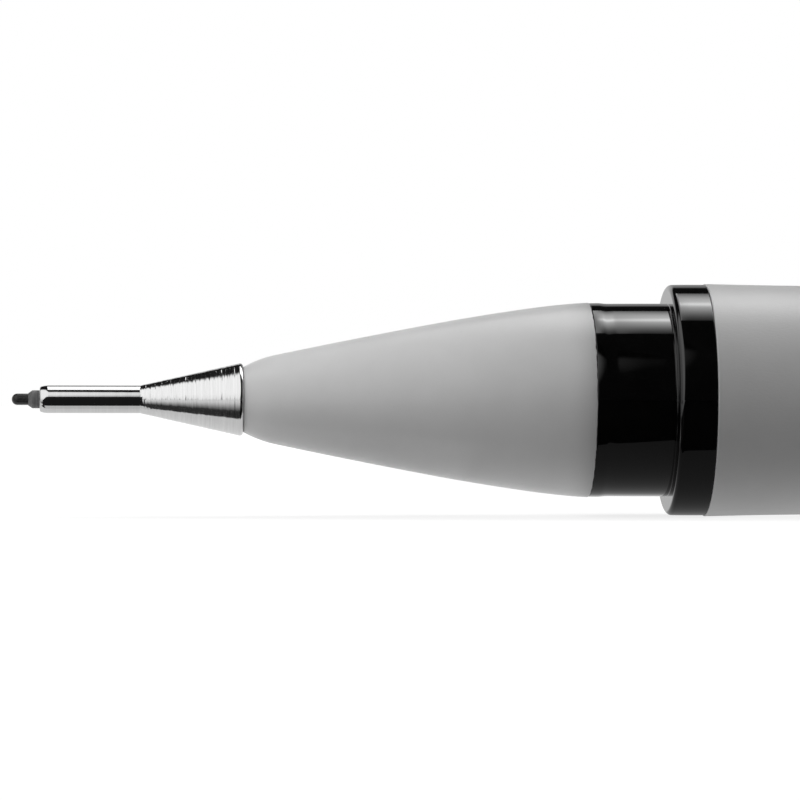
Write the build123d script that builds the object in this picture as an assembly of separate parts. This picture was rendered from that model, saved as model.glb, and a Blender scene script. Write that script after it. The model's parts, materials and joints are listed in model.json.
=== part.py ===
from build123d import *
import math
import os

# Fineliner pen lying on its side, with its cap posted on the tail.
# The pen's axis is X, the writing point is the origin and looks towards -X, and +Z is up.
# All sizes are in millimetres.

# Fits and cuts
press_gap = 0.01  # radial play between pieces that are pressed together
seat_gap = 0.02  # play between faces that seat on each other
overrun = 1.0  # how far a cut runs past the piece that it cuts

# Writing nib: a capillary rod from the writing point back into the ink
nib_diameter = 0.515
nib_exposed_length = 0.74
nib_point_round = 0.25
nib_reach = 6.5  # length inside the reservoir

# Sheath round the nib, with a head that the cone and the grip trap
sheath_diameter = 0.81
sheath_nose_length = 0.18
sheath_nose_wall = 0.01
sheath_exposed_length = 0.33
sheath_head_diameter = 1.6

# Metal tube, shouldered where it enters the cone
tube_diameter = 1.25
tube_exposed_length = 4.47
tube_lead_length = 0.4
tube_lead_drop = 0.045
tube_rim_round = 0.07
tube_spigot_diameter = 1.02
tube_spigot_length = 2.4

# Turned metal cone with a spigot that is pressed into the grip
cone_length = 4.64
cone_diameter = 3.33
cone_rim_round = 0.14
cone_spigot_diameter = 2.3
cone_spigot_length = 4.4
cone_shoulder = 0.5  # from the cone's rear face back to the seat of the sheath's head

# Grip section: a convex taper outside, a nib guide and an air chamber inside
grip_length = 15.49
grip_front_diameter = 2.94
grip_nose_length = 1.42
grip_nose_diameter = 4.01
grip_bulge = 0.1925  # how far the middle of the taper stands out from a straight line
grip_middle_slope = 0.187  # rise of the taper at its middle
grip_rear_step = 0.055  # how far its rear rim stands proud of the collar
grip_rear_round = 0.14
grip_wall = 1.15
grip_web = 1.3  # thickness behind the cone's socket
grip_bore_length = 4.0  # straight stretch of the chamber in front of the grip's rear face
grip_spigot_wall = 0.75
grip_spigot_setback = 0.6  # from the collar's rear end
guide_diameter = 2.0
guide_play = 0.06  # room round the nib in its guide

# Stop collar: bead, cap seat, stop flange and the spigot that carries the barrel
collar_step = 0.825  # from the barrel's radius down to the cap's seat
collar_length = 3.63
collar_wall = 0.75
bead_height = 0.03
bead_length = 0.58
bead_lead_length = 0.4  # gently crowned front stretch of the bead
bead_lead_drop = 0.02
bead_run_length = 0.4
bead_round = 0.025
flange_step = 0.055  # how far the flange stands proud of the barrel
flange_length = 1.65
flange_round = 0.23
collar_spigot_length = 6.0
spigot_lead = 0.3

# Barrel: a round tube flared at its mouth, ribbed inside
barrel_length = 86.0
barrel_diameter = 10.32
barrel_wall = 0.86
mouth_flare = 0.093
mouth_flare_length = 8.0
barrel_tail_round = 0.2
rib_count = 6
rib_width = 0.6
rib_height = 0.45
rib_setback = 2.0  # from the spigots at both ends

# Film round the ink reservoir
film_thickness = 0.08

# Tail plug: a spigot in the barrel, a flange and the post that carries the cap
plug_spigot_length = 8.0
plug_wall = 0.9
plug_flange_length = 1.5
plug_edge_round = 0.1
plug_end_wall = 1.5
post_seal_gap = 0.4  # between the post's end and the inner cap
post_end_round = 0.9
post_play = 0.025  # how far the post is slimmer than the cap's seat

# Cap shell, which clicks on the collar or slides on the post
cap_fit_gap = 0.015
cap_bore_gap = 0.063
cap_wall = 0.8
cap_taper = 0.2  # how much less its radius is at the crown
cap_mouth_round = 0.2
cap_rest_gap = 0.1  # between the posted cap's mouth and the tail flange
cap_bead_depth = 1.6
cap_bead_length = 1.0
point_room = 1.2  # free length ahead of the writing point in the closed cap

# Inner cap that seals on the grip's taper
seal_wall = 0.6
seal_depth = 12.8  # from the cap's mouth
seal_squeeze = 0.05
seal_lip_length = 1.2
seal_relief = 0.12

# Crown that closes the cap
crown_length = 3.0
crown_spigot_length = 5.0
crown_floor = 2.45
crown_edge_round = 0.9
crown_dome = 0.25
vent_count = 3
vent_width = 1.4
vent_depth = 0.45

# Pocket clip: a bent steel strip with its tab in a slot under the crown
clip_thickness = 0.45
clip_root_width = 3.6
clip_end_width = 2.6
clip_tab_depth = 1.1
clip_play = 0.12  # room round the tab, in which it tips
clip_stand_off = 1.2
clip_arm_length = 24.5
clip_arm_drop = 0.35
clip_press_length = 2.5  # from the arm's end down to the pressing crest
clip_rest_gap = 0.1  # between the pressing crest and the shell
clip_lip_length = 2.2
clip_lip_rise = 0.8
clip_root_bend = 0.7
clip_arm_bend = 4.0
clip_crest_bend = 1.6

# Radii that several pieces share
tube_radius = tube_diameter / 2
barrel_radius = barrel_diameter / 2
collar_radius = barrel_radius - collar_step
bead_radius = collar_radius + bead_height
grip_rear_radius = collar_radius + grip_rear_step
mouth_radius = barrel_radius + mouth_flare
post_radius = collar_radius - post_play
barrel_bore = barrel_radius - barrel_wall
collar_spigot_radius = barrel_bore - press_gap
collar_bore = min(collar_radius, collar_spigot_radius) - collar_wall
grip_spigot_radius = collar_bore - press_gap
grip_bore = grip_spigot_radius - grip_spigot_wall
film_radius = barrel_bore - rib_height - seat_gap
fibre_radius = film_radius - film_thickness
plug_bore = collar_spigot_radius - plug_wall
nib_radius = nib_diameter / 2
nib_bore = nib_radius + press_gap
sheath_radius = sheath_diameter / 2
sheath_bore = sheath_radius + press_gap
cap_bore = max(grip_rear_radius, bead_radius) + cap_bore_gap
cap_mouth_radius = cap_bore + cap_wall
cap_end_radius = cap_mouth_radius - cap_taper

# Places along the pen, from the writing point back
sheath_front = nib_exposed_length
sheath_shoulder = sheath_front + sheath_nose_length
tube_front = sheath_shoulder + sheath_exposed_length
cone_front = tube_front + tube_exposed_length
cone_rear = cone_front + cone_length
cone_spigot_end = cone_rear + cone_spigot_length
grip_front = cone_rear + seat_gap
grip_nose_end = grip_front + grip_nose_length
grip_rear = grip_front + grip_length
socket_floor = cone_spigot_end + seat_gap
chamber_front = socket_floor + grip_web
collar_front = grip_rear + seat_gap
flange_front = collar_front + collar_length
flange_rear = flange_front + flange_length
collar_end = flange_rear + collar_spigot_length
barrel_front = flange_rear + seat_gap
barrel_rear = barrel_front + barrel_length
plug_flange_front = barrel_rear + seat_gap
plug_flange_rear = plug_flange_front + plug_flange_length
plug_front = plug_flange_front - plug_spigot_length
cap_mouth = plug_flange_rear + cap_rest_gap
post_end = cap_mouth + seal_depth - post_seal_gap
reservoir_front = collar_end + seat_gap
reservoir_rear = plug_front - seat_gap

# Places inside the cap, from its mouth to its crown
point_depth = flange_front + point_room
seal_end = point_depth + seal_wall
crown_pocket_end = seal_end + seat_gap
shell_length = crown_pocket_end + crown_floor
crown_spigot_front = shell_length - crown_spigot_length


def turned(outline):
    """Solid turned about the pen's axis from a closed outline, X along the pen and Y the radius."""
    return revolve(make_face(outline), Axis.X)


def turned_corners(*corners):
    """Solid turned from corners of place, radius and, where the corner is round, its rounding."""
    points = [corner[:2] for corner in corners]
    rounds = [corner[2] if len(corner) > 2 else 0 for corner in corners]
    return turned(FilletPolyline(*points, radius=rounds, close=True))


def tube(front, rear, outer, inner):
    """Plain tube between two places along the pen."""
    return turned_corners((front, inner), (rear, inner), (rear, outer), (front, outer))


def writing_nib():
    end = reservoir_front + nib_reach
    return turned_corners((0, 0), (end, 0), (end, nib_radius), (0, nib_radius, nib_point_round))


def nib_sheath():
    head_front = cone_rear + cone_shoulder + seat_gap
    head_end = cone_spigot_end
    head_radius = sheath_head_diameter / 2
    return turned_corners(
        (sheath_front, nib_bore),
        (head_end, nib_bore),
        (head_end, head_radius),
        (head_front, head_radius),
        (head_front, sheath_radius),
        (sheath_shoulder, sheath_radius),
        (sheath_front, nib_bore + sheath_nose_wall),
    )


def tip_tube():
    lead_end = tube_front + tube_lead_length
    rim_radius = tube_radius - tube_lead_drop
    spigot_end = cone_front + tube_spigot_length
    spigot_radius = tube_spigot_diameter / 2
    lead = TangentArc((lead_end, tube_radius), (tube_front + tube_rim_round, rim_radius), tangent=(-1, 0))
    rim = TangentArc(lead @ 1, (tube_front, rim_radius - tube_rim_round), tangent=lead % 1)
    body = Polyline(
        rim @ 1,
        (tube_front, sheath_bore),
        (spigot_end, sheath_bore),
        (spigot_end, spigot_radius),
        (cone_front, spigot_radius),
        (cone_front, tube_radius),
        lead @ 0,
    )
    return turned([lead, rim, body])


def tip_cone():
    socket = tube_spigot_diameter / 2 + press_gap
    socket_end = cone_front + tube_spigot_length + seat_gap
    seat = cone_rear + cone_shoulder
    head_bore = sheath_head_diameter / 2 + press_gap
    spigot_radius = cone_spigot_diameter / 2
    front = cone_front + seat_gap
    return turned_corners(
        (front, socket),
        (socket_end, socket),
        (socket_end, sheath_bore),
        (seat, sheath_bore),
        (seat, head_bore),
        (cone_spigot_end, head_bore),
        (cone_spigot_end, spigot_radius),
        (cone_rear, spigot_radius),
        (cone_rear, cone_diameter / 2, cone_rim_round),
        (front, tube_radius),
    )


def grip_taper():
    """Front and rear arc of the grip's convex outside, which meet in the middle between its nose and its rear."""
    start = (grip_nose_end, grip_nose_diameter / 2)
    end = (grip_rear - grip_rear_round, grip_rear_radius)
    middle = ((start[0] + end[0]) / 2, (start[1] + end[1]) / 2 + grip_bulge)
    front = TangentArc(middle, start, tangent=(-1, -grip_middle_slope))
    rear = TangentArc(middle, end, tangent=(1, grip_middle_slope))
    return front, rear


def grip_radius_at(place):
    """Outside radius of the grip's taper at a place, where a line across the pen meets one of its arcs."""
    front, rear = grip_taper()
    arc = front if place < (front @ 0).X else rear
    across = Line((place, 0), (place, 2 * grip_rear_radius))
    return arc.find_intersection_points(across)[0].Y


def grip_section():
    front, rear = grip_taper()
    nose = TangentArc(front @ 1, (grip_front, grip_front_diameter / 2), tangent=front % 1)
    edge = TangentArc(rear @ 1, (grip_rear, grip_rear_radius - grip_rear_round), tangent=rear % 1)
    socket = cone_spigot_diameter / 2 + press_gap
    guide_bore = nib_radius + guide_play
    guide_end = reservoir_front - seat_gap
    guide_radius = guide_diameter / 2
    spigot_end = collar_end - grip_spigot_setback
    body = Polyline(
        nose @ 1,
        (grip_front, socket),
        (socket_floor, socket),
        (socket_floor, guide_bore),
        (guide_end, guide_bore),
        (guide_end, guide_radius),
        (chamber_front, guide_radius),
        (chamber_front, grip_radius_at(chamber_front) - grip_wall),
        (grip_rear - grip_bore_length, grip_bore),
        (spigot_end, grip_bore),
        (spigot_end, grip_spigot_radius),
        (grip_rear, grip_spigot_radius),
        edge @ 1,
    )
    return turned([front, rear, nose, edge, body])


def stop_collar():
    flange_radius = barrel_radius + flange_step
    bead_end = collar_front + bead_length
    lead_radius = bead_radius - bead_lead_drop
    lead_front = (collar_front + bead_round, lead_radius)
    face = (flange_front, flange_radius - flange_round)
    run = TangentArc((bead_end + bead_run_length, collar_radius), (bead_end, bead_radius), tangent=(-1, 0))
    lead = TangentArc((collar_front + bead_lead_length, bead_radius), lead_front, tangent=(-1, 0))
    rim = TangentArc(face, (flange_front + flange_round, flange_radius), tangent=(0, 1))
    crown = Line(run @ 1, lead @ 0)
    front = Polyline(
        lead @ 1,
        (collar_front, lead_radius - bead_round),
        (collar_front, collar_bore),
        (collar_end, collar_bore),
        (collar_end, collar_spigot_radius - spigot_lead),
        (collar_end - spigot_lead, collar_spigot_radius),
        (flange_rear, collar_spigot_radius),
        (flange_rear, flange_radius),
        rim @ 1,
    )
    seat = Polyline(rim @ 0, (flange_front, collar_radius), run @ 0)
    return turned([run, crown, lead, front, rim, seat])


def barrel():
    flare_end = barrel_front + mouth_flare_length
    flare = TangentArc((flare_end, barrel_radius), (barrel_front, mouth_radius), tangent=(-1, 0))
    tail = TangentArc(
        (barrel_rear - barrel_tail_round, barrel_radius),
        (barrel_rear, barrel_radius - barrel_tail_round),
        tangent=(1, 0),
    )
    inside = Polyline(flare @ 1, (barrel_front, barrel_bore), (barrel_rear, barrel_bore), tail @ 1)
    outside = Line(tail @ 0, flare @ 0)
    shell = turned([flare, inside, tail, outside])
    ribs_front = collar_end + rib_setback
    ribs_length = plug_front - rib_setback - ribs_front
    root = barrel_wall / 2
    rib = Box(ribs_length, rib_width, rib_height + root, align=(Align.MIN, Align.CENTER, Align.MAX))
    rib = Pos(ribs_front, 0, barrel_bore + root) * rib
    for index in range(rib_count):
        shell += Rot(360 * index / rib_count, 0, 0) * rib
    return shell


def ink_reservoir():
    hole_end = reservoir_front + nib_reach + seat_gap
    return turned_corners(
        (reservoir_front, nib_bore),
        (hole_end, nib_bore),
        (hole_end, 0),
        (reservoir_rear, 0),
        (reservoir_rear, fibre_radius),
        (reservoir_front, fibre_radius),
    )


def reservoir_film():
    return tube(reservoir_front, reservoir_rear, film_radius, fibre_radius + press_gap)


def tail_plug():
    floor = post_end - plug_end_wall
    return turned_corners(
        (plug_front, plug_bore),
        (floor, plug_bore),
        (floor, 0),
        (post_end, 0),
        (post_end, post_radius, post_end_round),
        (plug_flange_rear, post_radius),
        (plug_flange_rear, barrel_radius, plug_edge_round),
        (plug_flange_front, barrel_radius),
        (plug_flange_front, collar_spigot_radius),
        (plug_front, collar_spigot_radius),
    )


def clip_slot():
    """Slot across the cap's end for the clip's tab, with the clip straight down."""
    width = clip_root_width + 2 * clip_play
    length = clip_thickness + 2 * clip_play
    height = clip_tab_depth + clip_play + overrun
    slot = Box(length, width, height, align=(Align.MAX, Align.CENTER, Align.MAX))
    return Pos(shell_length, 0, -(cap_end_radius - clip_tab_depth - clip_play)) * slot


def cap_shell():
    bead_radius_inside = collar_radius + cap_fit_gap
    bead_rise = cap_bore - bead_radius_inside
    bead_end = cap_bead_depth + cap_bead_length
    shell = turned_corners(
        (0, cap_bore),
        (cap_bead_depth - bead_rise, cap_bore),
        (cap_bead_depth, bead_radius_inside),
        (bead_end, bead_radius_inside),
        (bead_end + bead_rise, cap_bore),
        (shell_length, cap_bore),
        (shell_length, cap_end_radius),
        (0, cap_mouth_radius, cap_mouth_round),
    )
    return shell - clip_slot()


def seal_lip_radius():
    """Radius of the seal's lip, from the grip's taper where the closed cap puts it."""
    return grip_radius_at(flange_front - seal_depth) - seal_squeeze


def seal_radius():
    return seal_lip_radius() + seal_relief + seal_wall


def cap_inner_seal():
    lip = seal_lip_radius()
    bore = lip + seal_relief
    lip_end = seal_depth + seal_lip_length
    return turned_corners(
        (seal_depth, lip),
        (lip_end, lip),
        (lip_end + seal_relief, bore),
        (point_depth, bore, seal_wall),
        (point_depth, 0),
        (seal_end, 0),
        (seal_end, seal_radius()),
        (lip_end, seal_radius()),
        (seal_depth, lip + seal_wall / 2),
    )


def cap_crown():
    face = shell_length + seat_gap
    end = face + crown_length
    pocket = seal_radius() + press_gap
    spigot_radius = cap_bore - press_gap
    rim = RadiusArc(
        (end - crown_edge_round, cap_end_radius),
        (end, cap_end_radius - crown_edge_round),
        crown_edge_round,
        short_sagitta=True,
    )
    dome = TangentArc((end + crown_dome, 0), rim @ 1, tangent=(0, 1))
    body = Polyline(
        dome @ 0,
        (crown_pocket_end, 0),
        (crown_pocket_end, pocket),
        (crown_spigot_front, pocket),
        (crown_spigot_front, spigot_radius),
        (face, spigot_radius),
        (face, cap_end_radius),
        rim @ 0,
    )
    crown = turned([rim, dome, body]) - clip_slot()
    vent_length = end + crown_dome + overrun - crown_spigot_front
    vent = Box(vent_length, vent_width, vent_depth, align=(Align.MIN, Align.CENTER, Align.MAX))
    vent = Pos(crown_spigot_front, 0, spigot_radius) * vent
    for index in range(vent_count):
        crown -= Rot(360 * index / vent_count, 0, 0) * vent
    return crown


def clip_path():
    """Middle line of the clip's strip from the tab round the root and along the arm to the lip."""
    half = clip_thickness / 2
    tab = shell_length - clip_play - half
    root_height = cap_end_radius + clip_stand_off + half
    arm_end = tab - clip_arm_length
    crest = arm_end - clip_press_length
    crest_radius = cap_end_radius + cap_taper * (shell_length - crest) / shell_length
    crest_height = crest_radius + clip_rest_gap + half
    points = [
        (tab, 0, -(cap_end_radius - clip_tab_depth)),
        (tab, 0, -root_height),
        (arm_end, 0, -(root_height - clip_arm_drop)),
        (crest, 0, -crest_height),
        (crest - clip_lip_length, 0, -(crest_height + clip_lip_rise)),
    ]
    return FilletPolyline(*points, radius=[clip_root_bend, clip_arm_bend, clip_crest_bend])


def cap_clip():
    path = clip_path()
    root = shell_length
    tip = (path @ 1).X
    half_root = clip_root_width / 2
    half_end = clip_end_width / 2
    section = Plane(origin=path @ 0, x_dir=(0, 1, 0), z_dir=path % 0) * Rectangle(clip_root_width, clip_thickness)
    strip = sweep(section, path)
    sides = Polyline((tip + half_end, half_end), (root, half_root), (root, -half_root), (tip + half_end, -half_end))
    end = ThreePointArc((tip + half_end, -half_end), (tip, 0), (tip + half_end, half_end))
    plan = extrude(make_face([sides, end]), amount=-(cap_end_radius + clip_stand_off + overrun + clip_thickness))
    return strip & plan


def clip_rest_angle():
    """Turn of the clip from straight down at which its root edge meets the surface the pen lies on."""
    rest_radius = max(mouth_radius, cap_mouth_radius)
    height = cap_end_radius + clip_stand_off + clip_thickness
    half_width = clip_root_width / 2
    edge_radius = math.hypot(height, half_width)
    return math.degrees(math.atan2(half_width, height) + math.acos(rest_radius / edge_radius))


def posted(piece):
    """A piece of the cap, put on the tail with the clip turned to where the pen lies steady."""
    return Pos(cap_mouth, 0, 0) * Rot(-clip_rest_angle(), 0, 0) * piece


pieces = {
    "writing_nib": writing_nib(),
    "nib_sheath": nib_sheath(),
    "tip_tube": tip_tube(),
    "tip_cone": tip_cone(),
    "grip_section": grip_section(),
    "stop_collar": stop_collar(),
    "barrel": barrel(),
    "ink_reservoir": ink_reservoir(),
    "reservoir_film": reservoir_film(),
    "tail_plug": tail_plug(),
    "cap_shell": posted(cap_shell()),
    "cap_inner_seal": posted(cap_inner_seal()),
    "cap_crown": posted(cap_crown()),
    "cap_clip": posted(cap_clip()),
}

os.makedirs("parts", exist_ok=True)
for name, piece in pieces.items():
    export_step(piece, f"parts/{name}.step")
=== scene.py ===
"""Looks of the fineliner pen: pieces worked out with numpy, procedural finishes, studio light and camera.

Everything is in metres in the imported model's frame: X runs along the pen from the writing point, Z points up.
"""
import json
import math

import bpy
import numpy as np
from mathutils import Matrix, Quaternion, Vector


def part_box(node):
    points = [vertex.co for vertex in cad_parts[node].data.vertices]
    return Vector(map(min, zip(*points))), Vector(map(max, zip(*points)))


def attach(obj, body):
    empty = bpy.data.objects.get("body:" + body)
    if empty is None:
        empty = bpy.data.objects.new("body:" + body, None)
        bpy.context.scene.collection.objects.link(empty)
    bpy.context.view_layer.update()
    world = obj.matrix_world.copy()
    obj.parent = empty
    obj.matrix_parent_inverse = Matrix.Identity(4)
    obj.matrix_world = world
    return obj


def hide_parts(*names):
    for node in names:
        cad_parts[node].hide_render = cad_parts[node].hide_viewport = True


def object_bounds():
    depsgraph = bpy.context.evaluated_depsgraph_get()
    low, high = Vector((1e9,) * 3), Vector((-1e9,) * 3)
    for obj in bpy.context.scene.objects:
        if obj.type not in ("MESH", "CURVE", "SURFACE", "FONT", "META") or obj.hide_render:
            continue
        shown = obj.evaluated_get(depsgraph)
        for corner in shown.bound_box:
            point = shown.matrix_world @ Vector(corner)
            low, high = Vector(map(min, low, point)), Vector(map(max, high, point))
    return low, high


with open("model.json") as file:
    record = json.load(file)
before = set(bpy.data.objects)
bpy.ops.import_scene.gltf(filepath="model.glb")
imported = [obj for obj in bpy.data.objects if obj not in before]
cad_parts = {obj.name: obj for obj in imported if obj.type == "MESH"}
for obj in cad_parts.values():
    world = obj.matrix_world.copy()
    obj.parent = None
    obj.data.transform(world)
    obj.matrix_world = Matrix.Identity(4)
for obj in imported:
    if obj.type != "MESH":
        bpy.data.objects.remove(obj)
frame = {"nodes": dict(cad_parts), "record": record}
cad_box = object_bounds()

MM = 0.001


def reach(node):
    """First and last place along the pen and the largest radius of a turned CAD node."""
    low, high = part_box(node)
    return low.x, high.x, (high.z - low.z) / 2


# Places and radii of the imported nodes
nib_front, nib_rear, nib_radius = reach("writing_nib")
sheath_front, sheath_rear, sheath_head_radius = reach("nib_sheath")
tube_front, tube_rear, tube_radius = reach("tip_tube")
cone_front, cone_spigot_end, _ = reach("tip_cone")
grip_front, grip_guide_end, _ = reach("grip_section")
_, collar_end, flange_radius = reach("stop_collar")
barrel_front, barrel_rear, mouth_radius = reach("barrel")
plug_front, post_end, barrel_radius = reach("tail_plug")
crown_front, crown_end, crown_radius = reach("cap_crown")
_, _, seal_radius = reach("cap_inner_seal")
floor_height = cad_box[0][2]

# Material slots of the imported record
slot_of = {entry["node"]: entry["material_slot"] for entry in frame["record"]["subparts"]}

# Fineness of the turned surfaces
sides_small = 96
sides_large = 192
support_row = 0.02 * MM
shortest_run = 3 * support_row
same_place = support_row / 100
arc_steps = 8
chain_steps = 24
bell_reach = 4
sharp_angle = math.radians(40)

# Nib and sheath
nib_point_round = 0.25 * MM
nib_row = 0.3 * MM
sheath_radius = 0.405 * MM
sheath_nose_length = 0.18 * MM
sheath_bore = 0.2675 * MM
sheath_nose_radius = 0.2775 * MM
sheath_head_front = 10.88 * MM
sheath_round = 0.02 * MM
sheath_row = 0.12 * MM

# Tube
tube_end = 5.735 * MM
tube_bore = 0.415 * MM
tube_spigot_radius = 0.51 * MM
tube_lead_length = 0.4 * MM
tube_lead_drop = 0.045 * MM
tube_rim_round = 0.07 * MM
tube_row = 0.03 * MM
tube_wave_slope = 0.006
tube_wave_rows = 3
tube_wave_seed = 11

# Cone
cone_rear = 10.36 * MM
cone_corner_radius = 1.665 * MM
cone_rim_round = 0.14 * MM
cone_spigot_radius = 1.15 * MM
cone_socket = 0.52 * MM
cone_socket_end = 8.14 * MM
cone_throat = 0.415 * MM
cone_seat = 10.86 * MM
cone_head_bore = 0.81 * MM
cone_row = 0.012 * MM
cone_bore_row = 0.6 * MM
cone_flank_share = 0.7
cone_wave_slope = 0.028
cone_wave_rows = 3
cone_wave_seed = 23
cone_groove_count = 64
cone_groove_slope = 0.15
cone_groove_least = 0.2
cone_groove_width = 0.02 * MM
cone_groove_seed = 7
cone_ring_swell = 0.0018 * MM
cone_ring_waves = 6
cone_ring_rows = 2
cone_ring_seeds = (31, 37)

# Grip
grip_rear = 25.93 * MM
grip_front_radius = 1.47 * MM
grip_nose = (11.8 * MM, 2.005 * MM)
grip_middle = (18.765 * MM, 3.39 * MM)
grip_middle_slope = 0.187
grip_shoulder = (23.2 * MM, 4.119 * MM)
grip_crown = (25.2 * MM, 4.346 * MM)
grip_rear_radius = 4.389 * MM
grip_rear_round = 0.03 * MM
grip_socket = 1.16 * MM
grip_socket_floor = 14.78 * MM
grip_guide_bore = 0.3175 * MM
grip_guide_radius = 1.0 * MM
grip_spigot_radius = 3.53 * MM
grip_spigot_end = 36.57 * MM
grip_bore = 2.78 * MM
grip_chamber_front = 16.08 * MM
grip_chamber_radius = 1.72 * MM
grip_bore_front = 21.87 * MM
grip_row = 0.6 * MM
grip_edge_wander = 0.008 * MM
grip_edge_reach = 6 * grip_rear_round
grip_edge_waves = (5, 90)
grip_edge_seed = 5
# Painted shade on the grip: its tone falls towards the rear end, and faster still next to the collar
grip_painted_shade_reach = (12 * MM, 25 * MM)
grip_painted_shade = (1.05, 0.87)
grip_rear_shade_reach = (24.6 * MM, 25.9 * MM)
grip_rear_painted_shade = 0.26

# Stop collar
collar_front = 25.95 * MM
collar_radius = 4.356 * MM
collar_bore = 3.54 * MM
collar_spigot_radius = 4.29 * MM
collar_spigot_lead = 0.3 * MM
bead_height = 0.022 * MM
bead_length = 0.4 * MM
bead_lead_length = 0.34 * MM
bead_lead_drop = 0.008 * MM
bead_round = 0.025 * MM
run_width = 0.27 * MM
run_dip = 0.018 * MM
run_settle = 1.0 * MM
run_length = 2.6 * MM
run_fine_length = 3 * run_width
run_coarse_steps = 24
run_fine_steps = 60
flange_front = 29.49 * MM
flange_rear = 31.17 * MM
flange_round = 0.24 * MM
flange_lead_length = 1.0 * MM
flange_lead_drop = 0.008 * MM
flange_rear_round = 0.03 * MM
seat_round = 0.035 * MM
collar_row = 0.4 * MM

# Barrel and tail plug
flare_length = 8.0 * MM
barrel_bore = 4.3 * MM
barrel_mouth_round = 0.05 * MM
barrel_tail_round = 0.2 * MM
barrel_row = 1.0 * MM
rib_count = 6
rib_width = 0.6 * MM
rib_height = 0.45 * MM
rib_setback = 2.0 * MM
plug_flange_front = 117.21 * MM
plug_flange_rear = 118.71 * MM
plug_edge_round = 0.1 * MM
plug_bore = 3.39 * MM
post_radius = 4.31 * MM
post_end_round = 0.9 * MM
post_floor = 1.5 * MM

# Cap's crown, with the cuts in it
crown_dome = 0.25 * MM
crown_length = 3.0 * MM
crown_edge_round = 0.9 * MM
crown_spigot_radius = 4.443 * MM
crown_pocket_depth = 2.55 * MM
crown_pocket_gap = 0.01 * MM
crown_row = 1.0 * MM
vent_count = 3
vent_width = 1.4 * MM
vent_depth = 0.45 * MM
vent_break = 0.01 * MM
clip_slot_rear = 0.02 * MM
clip_slot_length = 0.69 * MM
clip_slot_width = 3.84 * MM
clip_slot_depth = 1.22 * MM
cut_overrun = 1.0 * MM

# Camera, at the photograph's viewing angle
frame_px = 800
focal_px = 4438
sensor_width = 36.0
camera_distance = 200 * MM
camera_clip = 1 * MM
camera_yaw = math.radians(3.5)
camera_roll = math.radians(0.07)
camera_aim = Vector((17.436 * MM, 0, -0.012 * MM))

# Studio: floor and room
floor_size = 6.0
floor_tone = 0.9
floor_near_glow = 0.8
floor_far_glow = 1.0
floor_glow_reach = (0.1, 0.4)
floor_seen_tone = 0.22
floor_mirror_share = 0.88
dome_level = 0.31
room_level = 0.012
backdrop_left_level = 0.9
backdrop_right_level = 0.35
backdrop_top = 0.4
backdrop_fade = 0.12
backdrop_front_fade = (0.0, 0.3)
backdrop_change = (-0.2, 0.2)

# Studio: long soft box overhead and behind, and a round one at the front left
over_distance = 0.5
over_angle = math.radians(110.6)
over_reach = (-0.03, 0.65)
over_front_reach = 0.228
over_rear_reach = 0.206
over_wide_level = 4.9
over_wide_spread = 0.094
over_wide_shift = -0.003
over_hot_level = 2.8
over_hot_spread = 0.018
over_left_level = 2.0
over_left_fade = (0.056, 0.088)
round_distance = 0.45
round_radius = 0.62
round_axis = Vector((-0.707, -0.482, 0.517)).normalized()
round_level = 1.46
round_edge = (0.595, 0.76)
round_pivot = Vector((0.02, 0, 0))
round_low_share = 0.88
round_full_height = 0.35
round_left_share = 0.55
round_left_reach = (-0.95, -0.5)
round_door = (0.83, 0.89)
round_door_lean = 0.8

# Studio: cards on the floor and in front of the tube, with their corners in millimetres
card_lift = 0.05 * MM
black_tone = 0.004
black_corners = [
    (24.5, -20), (2, -60), (-280, -2900), (1500, -2900), (200, -13),
    (118, -13), (30.4, -7.05), (28, -6.45), (24.5, -5.8),
]
# Shade card: a glowing card with the pen's shadow painted on it, in front of the tip
shade_corners = [
    (-60, -60), (24.5, -60), (24.5, -5.2), (8.1, -3.15),
    (4.0, -2.1), (2.0, -2.0), (-3, -7), (-60, -7),
]
shade_edge = -6.6 * MM
shade_least = 0.04
shade_slant = 0.12
shade_right_edge = (8.3 * MM, 9.7 * MM)
shade_fade = 8.8 * MM
side_corners = [(-60, -10), (-2900, -10), (-2900, -2400), (-60, -50)]
side_reach = (-0.4, -0.06)
side_level = (0.4, 0.25)
# Under card: a glowing card with the pen's shadow painted on it for gloss, and a painted glow from below for
# diffuse light
under_corners = [(20, -20), (200, -20), (200, 40), (20, 40)]
under_edge = 0.6 * MM
under_fade = 2.0 * MM
under_level = 0.117
under_rise = 0.375
under_most = 0.8
under_light_reach = (-7 * MM, 8 * MM)
under_light = (0.3, 1.55)
strip_place = -0.9 * MM
strip_outline = [
    (5.76, 0.225), (5.76, -5.2), (0.93, -5.2), (0.93, -0.92),
    (1.13, -0.8), (1.24, -0.1), (1.5, 0.225),
]
strip_change = -0.79 * MM
strip_corner = 1.3 * MM
strip_corner_slope = 8.0
strip_black = 0.015
strip_white = 0.78

# Finishes: the range of a noise in which most of it lies
noise_range = (0.3, 0.7)


def arc_corner(before, corner, after, rounding):
    """Points of the arc that is tangent to both sides of a corner, with the given radius.

    The arc's middle lies on the corner's bisector, and its points turn evenly from one side to the other."""
    to_before = (before - corner) / np.linalg.norm(before - corner)
    to_after = (after - corner) / np.linalg.norm(after - corner)
    half = math.acos(np.clip(np.dot(to_before, to_after), -1, 1)) / 2
    bisector = (to_before + to_after) / np.linalg.norm(to_before + to_after)
    middle = corner + bisector * rounding / math.sin(half)
    first = corner + to_before * rounding / math.tan(half) - middle
    last = corner + to_after * rounding / math.tan(half) - middle
    sweep = math.pi - 2 * half
    shares = np.linspace(0, 1, arc_steps + 1)[:, None]
    return middle + (np.sin((1 - shares) * sweep) * first + np.sin(shares * sweep) * last) / math.sin(sweep)


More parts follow.
